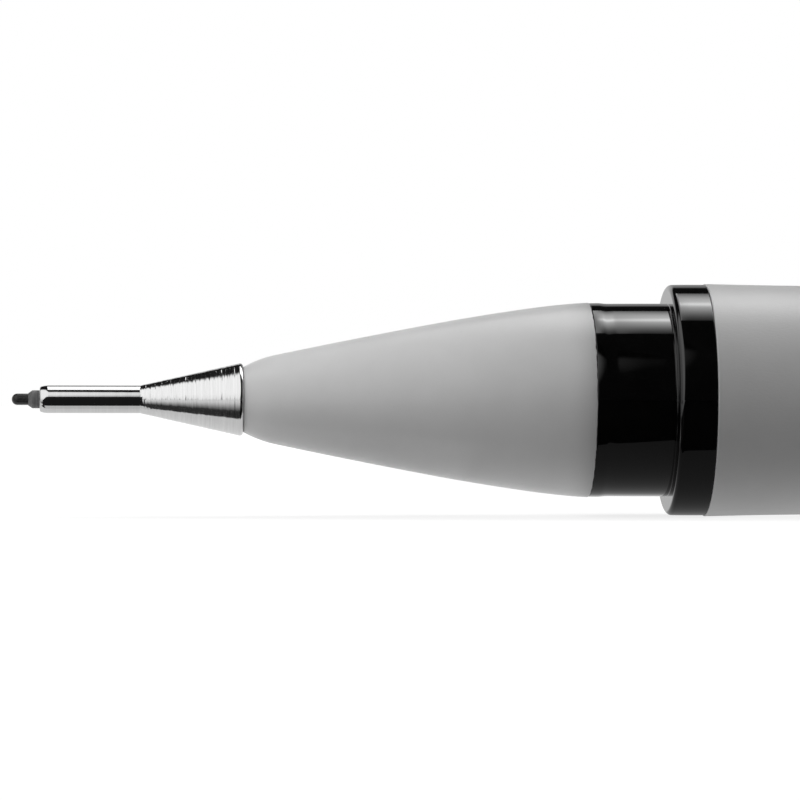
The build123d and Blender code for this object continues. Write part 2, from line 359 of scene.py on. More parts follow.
def rounded(*corners):
    """Closed outline of corners (place, radius[, rounding]) in which rounded corners are tangent arcs."""
    points = np.array([corner[:2] for corner in corners])
    runs = []
    for index, corner in enumerate(corners):
        if len(corner) == 3:
            after = points[(index + 1) % len(points)]
            runs.append(arc_corner(points[index - 1], points[index], after, corner[2]))
        else:
            runs.append(points[index:index + 1])
    return np.concatenate(runs)


def tangent_arc(start, end, direction, steps):
    """Points of the arc that leaves start in a direction and ends at end.

    Its middle lies on the start's normal, as far from the start as from the end."""
    start = np.array(start)
    chord = np.subtract(end, start)
    normal = np.array([-direction[1], direction[0]])
    centre = start + normal * np.dot(chord, chord) / (2 * np.dot(chord, normal))
    first = start - centre
    last = np.array(end) - centre
    turn = math.atan2(first[0] * last[1] - first[1] * last[0], np.dot(first, last))
    angles = math.atan2(first[1], first[0]) + np.linspace(0, turn, steps)
    return centre + np.linalg.norm(first) * np.stack([np.cos(angles), np.sin(angles)], 1)


def arc_chain(start, direction, *ends):
    """Points of arcs through the ends, each of which leaves in the direction in which the one before arrives.

    An arc arrives in its first direction mirrored about its chord."""
    points = np.array([start])
    direction = np.array(direction) / np.linalg.norm(direction)
    for end in ends:
        chord = np.subtract(end, points[-1])
        points = np.concatenate([points, tangent_arc(points[-1], end, direction, chain_steps)[1:]])
        direction = 2 * np.dot(direction, chord) / np.dot(chord, chord) * chord - direction
    return points


def with_rows(outline, row):
    """The closed outline with rows added along each long side: one close to each end, the rest even."""
    following = np.roll(outline, -1, axis=0)
    runs = []
    for start, end in zip(outline, following):
        length = np.linalg.norm(end - start)
        if length > shortest_run:
            inner = max(int(math.ceil(length / row)), 1)
            even = np.linspace(support_row / length, 1 - support_row / length, inner + 1)
            shares = np.concatenate([[0], even])
        else:
            shares = np.array([0])
        runs.append(start + shares[:, None] * (end - start))
    return np.concatenate(runs)


def steady_noise(count, length, seed):
    """Smooth random numbers of spread one: white noise averaged over a bell of the given length."""
    reach_of_bell = bell_reach * length
    noise = np.random.default_rng(seed).normal(size=count + 2 * reach_of_bell)
    bell = np.exp(-0.5 * (np.arange(-reach_of_bell, reach_of_bell + 1) / length) ** 2)
    smooth = np.convolve(noise, bell, mode="valid")[:count]
    return (smooth - smooth.mean()) / smooth.std()


def ring_wave(turns, lowest, highest, seed):
    """Random wave round a ring: sines of whole periods with random phases, spread one."""
    phases = np.random.default_rng(seed).uniform(0, 2 * math.pi, highest - lowest + 1)
    periods = np.arange(lowest, highest + 1)
    wave = np.sin(turns[:, None] * periods + phases).sum(1)
    return wave / wave.std()


def surface(name, points, faces, material, body, node):
    """Mesh object from whole arrays, smooth but for sharp corners, riding on a body in place of a node."""
    mesh = bpy.data.meshes.new(name)
    mesh.from_pydata(points, [], faces)
    mesh.validate()
    mesh.shade_smooth()
    mesh.set_sharp_from_angle(angle=sharp_angle)
    mesh.materials.append(material)
    piece = bpy.data.objects.new(name, mesh)
    bpy.context.scene.collection.objects.link(piece)
    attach(piece, body)
    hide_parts(node)
    return piece


def turned(name, outline, sides, material, body, node, wander=None):
    """Surface turned about X from a closed outline of places and radii.

    The point at place x and radius r, turned by the angle a, lies at (x, r cos a, r sin a). A row on the axis
    is one pole with triangles round it. Where a piece isn't true, wander gives what is added to the places
    and to the radii, by rows and turns."""
    turns = np.linspace(0, 2 * math.pi, sides, endpoint=False)
    places = np.repeat(outline[:, :1], sides, 1)
    radii = np.repeat(outline[:, 1:], sides, 1)
    if wander is not None:
        along, outwards = wander(outline, turns)
        places = places + along
        radii = radii + outwards
    points = np.stack([places, radii * np.cos(turns), radii * np.sin(turns)], -1).reshape(-1, 3)
    following = np.roll(outline, -1, axis=0)
    area = np.sum(outline[:, 0] * following[:, 1] - following[:, 0] * outline[:, 1])
    row = np.arange(len(outline))[:, None]
    side = np.arange(sides)[None, ::-1 if area > 0 else 1]
    after_row = (row + 1) % len(outline)
    after_side = np.roll(side, -1, axis=1)
    quads = np.stack([
        row * sides + side,
        row * sides + after_side,
        after_row * sides + after_side,
        after_row * sides + side,
    ], -1)
    on_axis = outline[:, 1] < same_place
    pole = np.repeat(on_axis, sides)
    numbers = np.arange(len(points))
    quads = np.where(pole, numbers // sides * sides, numbers)[quads]
    next_on_axis = np.roll(on_axis, -1)
    whole = quads[~on_axis & ~next_on_axis].reshape(-1, 4)
    from_pole = quads[on_axis & ~next_on_axis][..., [0, 2, 3]].reshape(-1, 3)
    to_pole = quads[~on_axis & next_on_axis][..., [0, 1, 2]].reshape(-1, 3)
    used = np.unique(np.concatenate([whole.ravel(), from_pole.ravel(), to_pole.ravel()]))
    faces = [face for group in (whole, from_pole, to_pole) for face in np.searchsorted(used, group).tolist()]
    return surface(name, points[used], faces, material, body, node)


class NodeTree:
    """A node tree with short calls for its nodes. A source is a node's output or a number."""

    def __init__(self, tree):
        self.tree = tree

    def add(self, kind, **settings):
        node = self.tree.nodes.new(kind)
        for key, value in settings.items():
            setattr(node, key, value)
        return node

    def link(self, source, target):
        self.tree.links.new(source, target)

    def math(self, operation, first, second=None):
        """Result of an operation on one or two sources."""
        node = self.add("ShaderNodeMath", operation=operation)
        for index, source in enumerate((first, second)):
            if isinstance(source, (int, float)):
                node.inputs[index].default_value = source
            elif source is not None:
                self.link(source, node.inputs[index])
        return node.outputs["Value"]

    def span(self, source, low, high, to_low=0.0, to_high=1.0, curve="LINEAR"):
        """The source's range from low to high mapped to another range, held at its ends."""
        node = self.add("ShaderNodeMapRange", interpolation_type=curve)
        for name, value in zip(("From Min", "From Max", "To Min", "To Max"), (low, high, to_low, to_high)):
            node.inputs[name].default_value = value
        self.link(source, node.inputs["Value"])
        return node.outputs["Result"]

    def ramp(self, source, low, high, to_low=0.0, to_high=1.0):
        """Smooth step from one level to another as the source goes from low to high."""
        return self.span(source, low, high, to_low, to_high, "SMOOTHSTEP")

    def bell(self, source, middle, spread, peak):
        """Bell of the source: the peak times e to the minus half the squared distance in spreads."""
        distance = self.math("DIVIDE", self.math("SUBTRACT", source, middle), spread)
        power = self.math("MULTIPLY", self.math("MULTIPLY", distance, distance), -0.5)
        return self.math("MULTIPLY", self.math("EXPONENT", power), peak)


class Finish(NodeTree):
    """A procedural finish of a piece: one shader with noise in its colour, roughness and relief."""

    def __init__(self, name, metallic=0.0):
        self.material = bpy.data.materials.new(name)
        self.material.use_nodes = True
        super().__init__(self.material.node_tree)
        self.shader = self.tree.nodes["Principled BSDF"]
        self.shader.inputs["Metallic"].default_value = metallic
        self.place = self.add("ShaderNodeTexCoord").outputs["Object"]

    def stretched(self, along, across):
        """Object coordinates scaled along and across the pen, for streaks and rings."""
        mapping = self.add("ShaderNodeMapping")
        mapping.inputs["Scale"].default_value = (along, across, across)
        self.link(self.place, mapping.inputs["Vector"])
        return mapping.outputs["Vector"]

    def noise(self, vector, scale=1.0, detail=3.0, roughness=0.6):
        """Noise between nought and one."""
        node = self.add("ShaderNodeTexNoise")
        node.inputs["Scale"].default_value = scale
        node.inputs["Detail"].default_value = detail
        node.inputs["Roughness"].default_value = roughness
        self.link(vector, node.inputs["Vector"])
        return node.outputs["Fac"]

    def spread(self, source, low, high):
        """A noise's middle range mapped to the range from low to high."""
        return self.span(source, *noise_range, low, high)

    def greys(self, source, low, high, tone=1.0):
        """Colour that varies with the source between two greys, times a tone."""
        value = self.math("MULTIPLY", self.spread(source, low, high), tone)
        node = self.add("ShaderNodeCombineColor")
        for name in ("Red", "Green", "Blue"):
            self.link(value, node.inputs[name])
        self.link(node.outputs["Color"], self.shader.inputs["Base Color"])

    def rough(self, source, low, high):
        """Roughness that varies with the source between two values."""
        self.link(self.spread(source, low, high), self.shader.inputs["Roughness"])

    def bump(self, source, height, strength=1.0):
        """Relief of the given height in metres from a source between nought and one."""
        node = self.add("ShaderNodeBump")
        node.inputs["Distance"].default_value = height
        node.inputs["Strength"].default_value = strength
        self.link(source, node.inputs["Height"])
        self.link(node.outputs["Normal"], self.shader.inputs["Normal"])


def nib_fibre():
    """Fibre full of ink: streaks along the nib."""
    finish = Finish("nib_fibre")
    fibres = finish.noise(finish.stretched(along=2500, across=25000))
    finish.greys(fibres, low=0.003, high=0.007)
    finish.rough(fibres, low=0.24, high=0.34)
    finish.shader.inputs["Specular IOR Level"].default_value = 0.4
    finish.bump(fibres, height=0.01 * MM)
    return finish.material


def sheath_plastic():
    """Dull grey plastic: fine rings round the sheath."""
    finish = Finish("sheath_plastic")
    rings = finish.noise(finish.stretched(along=9000, across=300))
    finish.greys(rings, low=0.07, high=0.2)
    finish.rough(rings, low=0.3, high=0.42)
    finish.shader.inputs["Specular IOR Level"].default_value = 0.1
    finish.bump(rings, height=0.006 * MM)
    return finish.material


def tube_steel():
    """Polished steel: faint rings round the tube."""
    finish = Finish("tube_steel", metallic=1.0)
    rings = finish.noise(finish.stretched(along=15000, across=500))
    finish.greys(rings, low=0.52, high=0.57)
    finish.rough(rings, low=0.04, high=0.09)
    return finish.material


def cone_steel():
    """Turned steel: fine rings between the lathe marks, which are in the cone's shape."""
    finish = Finish("cone_steel", metallic=1.0)
    rings = finish.noise(finish.stretched(along=25000, across=400))
    finish.greys(rings, low=0.54, high=0.62)
    finish.rough(rings, low=0.08, high=0.16)
    return finish.material


def grip_plastic():
    """Matte grey plastic: a fine grain, faint clouds, and painted shade: a tone that falls towards the rear
    end, faster next to the collar.
    """
    finish = Finish("grip_plastic")
    grain = finish.noise(finish.place, scale=14000, detail=4.0)
    cloud = finish.noise(finish.place, scale=350)
    along = finish.add("ShaderNodeSeparateXYZ")
    finish.link(finish.place, along.inputs["Vector"])
    # painted shade: a darker tone along the grip, and darker still at its rear end
    tone = finish.span(along.outputs["X"], *grip_painted_shade_reach, *grip_painted_shade)
    rear = finish.span(along.outputs["X"], *grip_rear_shade_reach)
    rear_shade = finish.math("MULTIPLY", finish.math("MULTIPLY", rear, rear), grip_rear_painted_shade)
    finish.greys(cloud, low=0.59, high=0.62, tone=finish.math("SUBTRACT", tone, rear_shade))
    finish.rough(grain, low=0.27, high=0.37)
    finish.bump(grain, height=0.006 * MM)
    return finish.material


def black_plastic():
    """Glossy black plastic: a faint unevenness of the moulding."""
    finish = Finish("black_plastic")
    cloud = finish.noise(finish.place, scale=900)
    finish.greys(cloud, low=0.001, high=0.002)
    finish.shader.inputs["Specular IOR Level"].default_value = 0.6
    finish.rough(cloud, low=0.04, high=0.07)
    finish.bump(finish.noise(finish.place, scale=500, detail=2.0), height=0.002 * MM)
    return finish.material


def barrel_plastic():
    """Satin grey plastic: a fine grain drawn out along the barrel, and faint clouds."""
    finish = Finish("barrel_plastic")
    grain = finish.noise(finish.stretched(along=5000, across=11000), detail=4.0)
    cloud = finish.noise(finish.place, scale=250)
    finish.greys(cloud, low=0.43, high=0.46)
    finish.rough(grain, low=0.34, high=0.46)
    finish.bump(grain, height=0.008 * MM)
    return finish.material


def ink_fibre():
    """Fibre rod full of ink: coarse streaks along it."""
    finish = Finish("ink_fibre")
    fibres = finish.noise(finish.stretched(along=600, across=12000))
    finish.greys(fibres, low=0.03, high=0.07)
    finish.shader.inputs["Roughness"].default_value = 0.8
    finish.bump(fibres, height=0.02 * MM)
    return finish.material


def clear_film():
    """Thin wrap: long creases."""
    finish = Finish("clear_film")
    creases = finish.noise(finish.stretched(along=200, across=1500))
    finish.greys(creases, low=0.66, high=0.74)
    finish.rough(creases, low=0.15, high=0.28)
    finish.bump(creases, height=0.01 * MM)
    return finish.material


def seal_plastic():
    """Soft pale plastic: faint clouds."""
    finish = Finish("seal_plastic")
    cloud = finish.noise(finish.place, scale=1500)
    finish.greys(cloud, low=0.64, high=0.71)
    finish.rough(cloud, low=0.4, high=0.5)
    finish.bump(cloud, height=0.004 * MM)
    return finish.material


def clip_steel():
    """Brushed steel: fine lines along the clip."""
    finish = Finish("clip_steel", metallic=1.0)
    lines = finish.noise(finish.stretched(along=400, across=16000))
    finish.greys(lines, low=0.6, high=0.7)
    finish.rough(lines, low=0.16, high=0.3)
    finish.bump(lines, height=0.002 * MM)
    return finish.material


finishes = {
    "nib_fibre": nib_fibre(),
    "sheath_plastic": sheath_plastic(),
    "tube_steel": tube_steel(),
    "cone_steel": cone_steel(),
    "grip_plastic": grip_plastic(),
    "black_plastic": black_plastic(),
    "barrel_plastic": barrel_plastic(),
    "ink_fibre": ink_fibre(),
    "clear_film": clear_film(),
    "seal_plastic": seal_plastic(),
    "clip_steel": clip_steel(),
}
for node, cad_object in frame["nodes"].items():
    for slot in cad_object.material_slots:
        slot.material = finishes[slot_of[node]]


def turn_piece(node, outline, sides, row, body="pen", wander=None):
    """A turned piece in place of its node, with the node's finish."""
    material = finishes[slot_of[node]]
    return turned(f"{node}_surface", with_rows(outline, row), sides, material, body, node, wander)


def writing_nib():
    """Rod with a round writing end."""
    outline = rounded(
        (nib_front, 0),
        (nib_rear, 0),
        (nib_rear, nib_radius),
        (nib_front, nib_radius, nib_point_round),
    )
    return turn_piece("writing_nib", outline, sides_small, nib_row)


def nib_sheath():
    """Sheath: a bore, a head at the rear, a straight outside and a tapered nose with a small rounding."""
    outline = rounded(
        (sheath_front, sheath_bore),
        (sheath_rear, sheath_bore),
        (sheath_rear, sheath_head_radius),
        (sheath_head_front, sheath_head_radius),
        (sheath_head_front, sheath_radius),
        (sheath_front + sheath_nose_length, sheath_radius, sheath_round),
        (sheath_front, sheath_nose_radius),
    )
    return turn_piece("nib_sheath", outline, sides_small, sheath_row)


def tip_tube():
    """Polished tube: a lead arc and a rim arc at its front, and a faint drawing wave along its outside."""
    lead_end = tube_front + tube_lead_length
    rim_radius = tube_radius - tube_lead_drop
    rim = (tube_front + tube_rim_round, rim_radius)
    nose = arc_chain((lead_end, tube_radius), (-1, 0), rim, (tube_front, rim_radius - tube_rim_round))
    body = np.array([
        (tube_front, tube_bore),
        (tube_rear, tube_bore),
        (tube_rear, tube_spigot_radius),
        (tube_end, tube_spigot_radius),
        (tube_end, tube_radius),
    ])
    outline = with_rows(np.concatenate([nose, body]), tube_row)
    outside = (outline[:, 1] > tube_radius - same_place) & (outline[:, 0] > lead_end)
    wave = steady_noise(outside.sum(), tube_wave_rows, tube_wave_seed)
    outline[outside, 1] += wave * tube_wave_slope * tube_row
    return turned("tip_tube_surface", outline, sides_small, finishes["tube_steel"], "pen", "tip_tube")


def tip_cone():
    """Turned cone with lathe marks: a fine random wave and narrow grooves along its slope.

    A groove is a bell of the distance from its middle. The rings aren't quite round: a sine and a cosine of
    whole periods are added to the radii, by random shares for each row."""
    slope = (cone_corner_radius - tube_radius) / (cone_rear - cone_front)
    plain = rounded(
        (cone_front, cone_socket),
        (cone_socket_end, cone_socket),
        (cone_socket_end, cone_throat),
        (cone_seat, cone_throat),
        (cone_seat, cone_head_bore),
        (cone_spigot_end, cone_head_bore),
        (cone_spigot_end, cone_spigot_radius),
        (cone_rear, cone_spigot_radius),
        (cone_rear, cone_corner_radius, cone_rim_round),
        (cone_front, tube_radius),
    )
    there_and_back = with_rows(plain[-2:], cone_row)
    flank = there_and_back[:len(there_and_back) // 2]
    outline = with_rows(np.concatenate([plain[:-2], flank, plain[-1:]]), cone_bore_row)
    outside = (outline[:, 0] < cone_rear - cone_rim_round) & (outline[:, 1] > tube_radius)
    outside &= outline[:, 1] - tube_radius > cone_flank_share * slope * (outline[:, 0] - cone_front)
    places = outline[outside, 0]
    wave_height = cone_wave_slope * cone_wave_rows * cone_row
    wave = steady_noise(len(places), cone_wave_rows, cone_wave_seed) * wave_height
    chance = np.random.default_rng(cone_groove_seed)
    grooves = chance.uniform(cone_front, cone_rear, cone_groove_count)
    shares = chance.uniform(cone_groove_least, 1, cone_groove_count)
    depths = shares * cone_groove_slope * cone_groove_width
    wave -= (depths * np.exp(-((places[:, None] - grooves) / cone_groove_width) ** 2)).sum(1)
    outline[outside, 1] += wave

    def uneven_rings(rows, turns):
        swell = np.zeros((2, len(rows), 1))
        swell[:, outside, 0] = [steady_noise(len(places), cone_ring_rows, seed) for seed in cone_ring_seeds]
        waves = swell[0] * np.sin(cone_ring_waves * turns) + swell[1] * np.cos(cone_ring_waves * turns)
        return 0, cone_ring_swell * waves

    material = finishes["cone_steel"]
    return turned("tip_cone_surface", outline, sides_small, material, "pen", "tip_cone", uneven_rings)


def grip_section():
    """Grip: arcs from its middle to the nose and to the crowned rear end, whose edge wanders a little."""
    rise = np.array([1, grip_middle_slope])
    edge = (grip_rear - grip_rear_round, grip_rear_radius)
    face = (grip_rear, grip_rear_radius - grip_rear_round)
    rear = arc_chain(grip_middle, rise, grip_shoulder, grip_crown, edge, face)
    nose = arc_chain(grip_middle, -rise, grip_nose, (grip_front, grip_front_radius))
    body = np.array([
        (grip_front, grip_socket),
        (grip_socket_floor, grip_socket),
        (grip_socket_floor, grip_guide_bore),
        (grip_guide_end, grip_guide_bore),
        (grip_guide_end, grip_guide_radius),
        (grip_chamber_front, grip_guide_radius),
        (grip_chamber_front, grip_chamber_radius),
        (grip_bore_front, grip_bore),
        (grip_spigot_end, grip_bore),
        (grip_spigot_end, grip_spigot_radius),
        (grip_rear, grip_spigot_radius),
    ])
    outline = np.concatenate([rear[::-1], nose[1:], body])

    def ragged_edge(rows, turns):
        near = np.exp(-((rows[:, 0] - grip_rear) / grip_edge_reach) ** 2)
        near = np.where(rows[:, 1] > grip_spigot_radius + support_row, near, 0)
        wave = ring_wave(turns, *grip_edge_waves, grip_edge_seed)
        return near[:, None] * wave[None, :] * grip_edge_wander, 0

    return turn_piece("grip_section", outline, sides_large, grip_row, wander=ragged_edge)


def stop_collar():
    """Collar: a crowned bead, its run-out, the cap's seat, the stop flange and a spigot.

    At the distance d behind the bead the run-out's radius is the seat's, plus the bead's height times a bell
    of d, minus a dip that grows as the bell falls and fades over the settling length."""
    bead_radius = collar_radius + bead_height
    lead_radius = bead_radius - bead_lead_drop
    far = np.linspace(run_length, run_fine_length, run_coarse_steps)[:-1]
    distance = np.concatenate([far, np.linspace(run_fine_length, 0, run_fine_steps)])
    bell = np.exp(-(distance / run_width) ** 2)
    dip = run_dip * (1 - bell) * (np.exp(-distance / run_settle) - math.exp(-run_length / run_settle))
    radius = collar_radius + bead_height * bell - dip
    run = np.stack([collar_front + bead_length + distance, radius], 1)
    bead = arc_chain(
        (collar_front + bead_lead_length, bead_radius), (-1, 0),
        (collar_front + bead_round, lead_radius), (collar_front, lead_radius - bead_round))
    spigot = rounded(
        (collar_front, collar_bore),
        (collar_end, collar_bore),
        (collar_end, collar_spigot_radius - collar_spigot_lead),
        (collar_end - collar_spigot_lead, collar_spigot_radius),
        (flange_rear, collar_spigot_radius),
        (flange_rear, flange_radius, flange_rear_round),
        (flange_front + flange_lead_length, flange_radius),
    )
    edge_radius = flange_radius - flange_lead_drop
    edge = arc_chain(
        spigot[-1], (-1, 0),
        (flange_front + flange_round, edge_radius), (flange_front, edge_radius - flange_round))
    seat = arc_corner(edge[-1], np.array([flange_front, collar_radius]), run[0], seat_round)
    outline = np.concatenate([run, bead, spigot, edge[1:], seat])
    return turn_piece("stop_collar", outline, sides_large, collar_row)


def barrel():
    """Barrel: a flare towards its mouth, a rounded mouth edge, a rounded tail and ribs inside.

    A rib lowers the bore by its height where the distance from its middle, round the bore, is under half its
    width."""
    ribs_front = collar_end + rib_setback
    ribs_rear = plug_front - rib_setback
    flare = tangent_arc(
        (barrel_front + flare_length, barrel_radius),
        (barrel_front + barrel_mouth_round, mouth_radius), (-1, 0), chain_steps)
    rest = rounded(
        (barrel_front, mouth_radius, barrel_mouth_round),
        (barrel_front, barrel_bore),
        (ribs_front, barrel_bore),
        (ribs_rear, barrel_bore),
        (barrel_rear, barrel_bore),
        (barrel_rear, barrel_radius, barrel_tail_round),
    )

    def inner_ribs(rows, turns):
        ribbed = np.abs(rows[:, 1] - barrel_bore) < same_place
        ribbed &= (rows[:, 0] > ribs_front - support_row / 2) & (rows[:, 0] < ribs_rear + support_row / 2)
        step = 2 * math.pi / rib_count
        distance = np.abs((turns + step / 2) % step - step / 2) * barrel_bore
        return 0, -rib_height * ribbed[:, None] * (distance < rib_width / 2)[None, :]

    outline = np.concatenate([flare[:-1], rest])
    return turn_piece("barrel", outline, sides_large, barrel_row, wander=inner_ribs)


def tail_plug():
    """Plug: a spigot in the barrel, a flange as wide as the barrel and a hollow post with a closed end."""
    outline = rounded(
        (plug_front, plug_bore),
        (post_end - post_floor, plug_bore),
        (post_end - post_floor, 0),
        (post_end, 0),
        (post_end, post_radius, post_end_round),
        (plug_flange_rear, post_radius, seat_round),
        (plug_flange_rear, barrel_radius, plug_edge_round),
        (plug_flange_front, barrel_radius, plug_edge_round),
        (plug_flange_front, collar_spigot_radius),
        (plug_front, collar_spigot_radius),
    )
    return turn_piece("tail_plug", outline, sides_large, barrel_row)


def box_cutter(low, high, turn):
    """Box between two corners, turned by an angle t about the pen's axis.

    The point (x, y, z) goes to (x, y cos t - z sin t, y sin t + z cos t)."""
    ends = [np.array(pair) for pair in zip(low, high)]
    places, across, up = (part.ravel() for part in np.meshgrid(*ends, indexing="ij"))
    sideways = across * math.cos(turn) - up * math.sin(turn)
    upwards = across * math.sin(turn) + up * math.cos(turn)
    faces = [(0, 1, 3, 2), (4, 6, 7, 5), (0, 4, 5, 1), (2, 3, 7, 6), (0, 2, 6, 4), (1, 5, 7, 3)]
    mesh = bpy.data.meshes.new("cutter")
    mesh.from_pydata(np.stack([places, sideways, upwards], 1), [], faces)
    cutter = bpy.data.objects.new("cutter", mesh)
    bpy.context.scene.collection.objects.link(cutter)
    return cutter


def cut_out(piece, cutters):
    """Takes the cutters out of the piece's mesh for good, and removes them."""
    for cutter in cutters:
        change = piece.modifiers.new("cut", "BOOLEAN")
        change.operation = "DIFFERENCE"
        change.solver = "EXACT"
        change.object = cutter
    whole = piece.data
    finished = piece.evaluated_get(bpy.context.evaluated_depsgraph_get())
    piece.data = bpy.data.meshes.new_from_object(finished)
    piece.data.set_sharp_from_angle(angle=sharp_angle)
    piece.modifiers.clear()
    for cutter in cutters:
        bpy.data.meshes.remove(cutter.data)
    bpy.data.meshes.remove(whole)


def cap_crown():
    """Crown: a spigot with the seal's pocket, a flange and a domed end, with vents and the clip's slot cut.

    The dome is an arc that leaves the axis square to it. The cuts are turned with the clip."""
    end = crown_end - crown_dome
    face = end - crown_length
    rim = arc_chain((end - crown_edge_round, crown_radius), (1, 0), (end, crown_radius - crown_edge_round))
    dome = tangent_arc((crown_end, 0), rim[-1], (0, 1), chain_steps)
    body = np.array([
        (face, crown_radius),
        (face, crown_spigot_radius),
        (crown_front, crown_spigot_radius),
        (crown_front, seal_radius + crown_pocket_gap),
        (crown_front + crown_pocket_depth, seal_radius + crown_pocket_gap),
        (crown_front + crown_pocket_depth, 0),
    ])
    outline = np.concatenate([dome, rim[-2::-1], body])
    crown = turn_piece("cap_crown", outline, sides_large, crown_row, body="cap")
    joints = frame["record"]["behaviour"]["joints"]
    clip_axis = next(joint["axis"] for joint in joints if joint["name"] == "clip_flex")
    clip_turn = math.atan2(-clip_axis[2], -clip_axis[1])
    vent_low = (crown_front - cut_overrun, -vent_width / 2, crown_spigot_radius - vent_depth)
    vent_high = (crown_end + cut_overrun, vent_width / 2, crown_spigot_radius + vent_break)
    turns = clip_turn + np.arange(vent_count) * 2 * math.pi / vent_count
    vents = [box_cutter(vent_low, vent_high, turn) for turn in turns]
    slot_end = face - clip_slot_rear
    slot_low = (slot_end - clip_slot_length, -clip_slot_width / 2, -crown_radius - cut_overrun)
    slot_high = (slot_end, clip_slot_width / 2, clip_slot_depth - crown_radius)
    cut_out(crown, [*vents, box_cutter(slot_low, slot_high, clip_turn)])


writing_nib()
nib_sheath()
tip_tube()
tip_cone()
grip_section()
stop_collar()
barrel()
tail_plug()
cap_crown()


def card(name, corners, material):
    """Flat stage card through its corners, which isn't in the picture and throws no shadow."""
    mesh = bpy.data.meshes.new(name)
    mesh.from_pydata(corners, [], [list(range(len(corners)))])
    mesh.materials.append(material)
    piece = bpy.data.objects.new(name, mesh)
    bpy.context.scene.collection.objects.link(piece)
    piece.visible_camera = False
    piece.visible_shadow = False
    piece.visible_transmission = False
    return piece


def floor_card(name, corners, material, lift):
    """Card that lies on the floor, from corners in millimetres."""
    height = floor_height + lift * card_lift
    return card(name, [(x * MM, y * MM, height) for x, y in corners], material)


def stage_material(name):
    """An empty material and its tree."""
    material = bpy.data.materials.new(name)
    material.use_nodes = True
    material.node_tree.nodes.clear()
    return material, NodeTree(material.node_tree)


def floor_paper():
    """White sheet: diffuse for the light, and for camera and gloss mostly its own white, with a shadow."""
    material, tree = stage_material("floor_paper")
    output = tree.add("ShaderNodeOutputMaterial")
    path = tree.add("ShaderNodeLightPath")
    sheet = tree.add("ShaderNodeBsdfDiffuse")
    sheet.inputs["Color"].default_value = (floor_tone, floor_tone, floor_tone, 1)
    seen_sheet = tree.add("ShaderNodeBsdfDiffuse")
    seen_sheet.inputs["Color"].default_value = (floor_seen_tone, floor_seen_tone, floor_seen_tone, 1)
    glow = tree.add("ShaderNodeEmission")
    distance = tree.add("ShaderNodeVectorMath", operation="LENGTH")
    tree.link(tree.add("ShaderNodeTexCoord").outputs["Object"], distance.inputs[0])
    own = tree.ramp(distance.outputs["Value"], *floor_glow_reach, floor_near_glow, floor_far_glow)
    mirrored = tree.math("ADD", path.outputs["Is Glossy Ray"], path.outputs["Is Transmission Ray"])
    share = tree.span(mirrored, 0.0, 1.0, 1.0, floor_mirror_share)
    tree.link(tree.math("MULTIPLY", own, share), glow.inputs["Strength"])
    seen = tree.add("ShaderNodeAddShader")
    tree.link(seen_sheet.outputs["BSDF"], seen.inputs[0])
    tree.link(glow.outputs["Emission"], seen.inputs[1])
    mix = tree.add("ShaderNodeMixShader")
    tree.link(tree.math("ADD", path.outputs["Is Camera Ray"], mirrored), mix.inputs["Fac"])
    tree.link(sheet.outputs["BSDF"], mix.inputs[1])
    tree.link(seen.outputs["Shader"], mix.inputs[2])
    tree.link(mix.outputs["Shader"], output.inputs["Surface"])
    material.cycles.emission_sampling = "NONE"
    return material


def front_side(tree, shader):
    """The shader on a card's front, which faces the pen, and nothing on its back, so the floor stays lit."""
    clear = tree.add("ShaderNodeBsdfTransparent")
    mix = tree.add("ShaderNodeMixShader")
    tree.link(tree.add("ShaderNodeNewGeometry").outputs["Backfacing"], mix.inputs["Fac"])
    tree.link(shader, mix.inputs[1])
    tree.link(clear.outputs["BSDF"], mix.inputs[2])
    return mix.outputs["Shader"]


def black_card():
    """Black paper."""
    material, tree = stage_material("black_card")
    output = tree.add("ShaderNodeOutputMaterial")
    paper = tree.add("ShaderNodeBsdfDiffuse")
    paper.inputs["Color"].default_value = (black_tone, black_tone, black_tone, 1)
    tree.link(front_side(tree, paper.outputs["BSDF"]), output.inputs["Surface"])
    return material


def glowing(name, level_at, lamp):
    """Card material whose brightness is worked out from the place: level_at gets the tree and the place."""
    material, tree = stage_material(name)
    output = tree.add("ShaderNodeOutputMaterial")
    light = tree.add("ShaderNodeEmission")
    place = tree.add("ShaderNodeTexCoord").outputs["Object"]
    tree.link(level_at(tree, place), light.inputs["Strength"])
    shader = light.outputs["Emission"]
    tree.link(shader if lamp else front_side(tree, shader), output.inputs["Surface"])
    material.cycles.emission_sampling = "FRONT_BACK" if lamp else "NONE"
    return material


def parts_of(tree, place):
    """The place's three parts."""
    parts = tree.add("ShaderNodeSeparateXYZ")
    tree.link(place, parts.inputs["Vector"])
    return parts.outputs


def over_level(tree, place):
    """Long soft box: a wide bell across it and a narrow hot one, which fade to an even, dimmer left end."""
    along, across, _ = parts_of(tree, place)
    middle = -over_distance * math.cos(over_angle)
    wide = tree.bell(across, middle - over_wide_shift, over_wide_spread, over_wide_level)
    hot = tree.bell(across, middle, over_hot_spread, over_hot_level)
    fade = tree.span(along, *over_left_fade)
    bells = tree.math("MULTIPLY", tree.math("ADD", wide, hot), fade)
    return tree.math("ADD", bells, tree.span(fade, 0.0, 1.0, over_left_level, 0.0))


